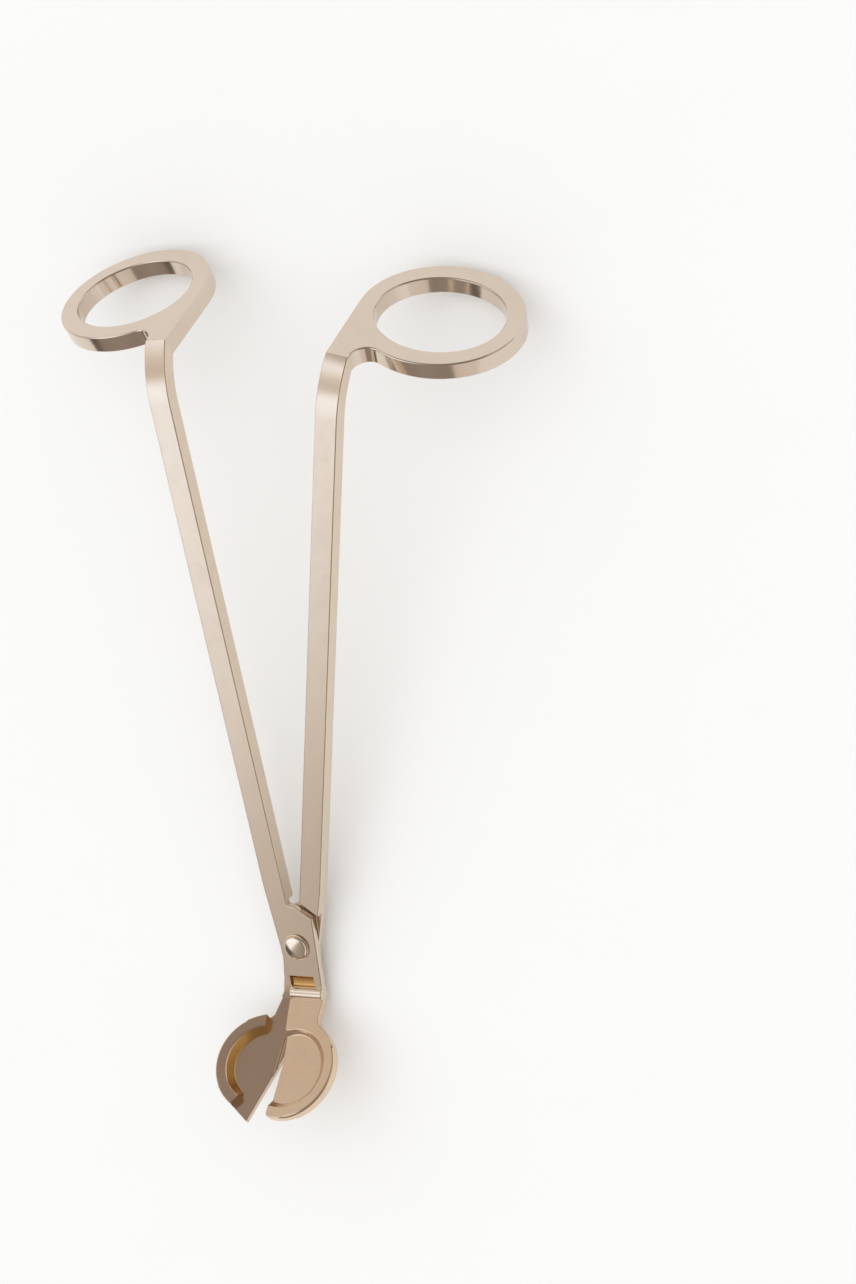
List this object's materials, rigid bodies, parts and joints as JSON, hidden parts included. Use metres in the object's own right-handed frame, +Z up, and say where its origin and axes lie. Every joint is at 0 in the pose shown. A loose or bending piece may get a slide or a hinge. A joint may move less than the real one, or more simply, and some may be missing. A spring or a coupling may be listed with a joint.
{
  "type": "wick trimmer",
  "caption": "Long scissor-type wick trimmer: slim bars on one rivet, oval finger rings bent back, and a shallow round dish of two half-moon blades bent forward.",
  "frame": {"origin": "on the surface that the trimmer lies on, at the middle of its box in X and Y", "axes": "+Y along the trimmer from the dish to the finger rings, +Z up out of the bars' front faces as it lies on its back, +X to the right"},
  "size_m": [0.103, 0.1757, 0.0285],
  "materials": {
    "bar_gold": "satin-polished pale gold plating on steel",
    "ring_gold": "polished pale gold plating on steel",
    "lower_blade_gold": "polished pale gold plating on steel",
    "upper_blade_gold": "satin pale gold plating on steel",
    "rivet_gold": "mirror-polished pale gold plating on steel",
    "washer_gold": "pale gold plating on steel"
  },
  "bodies": {
    "rear_half": {"rear_shank": "bar_gold", "rear_finger_ring": "ring_gold", "rear_blade": "lower_blade_gold", "pivot_rivet": "rivet_gold", "rivet_washer": "washer_gold"},
    "front_half": {"front_shank": "bar_gold", "front_finger_ring": "ring_gold", "front_blade": "upper_blade_gold"}
  },
  "joints": [
    {"name": "pivot_hinge", "type": "hinge", "parent": "rear_half", "child": "front_half", "pos_m": [0, -0.0526, 0.00393], "axis": [0, -0.1964, 0.9805], "range_deg": [-15.04, 14]}
  ]
}
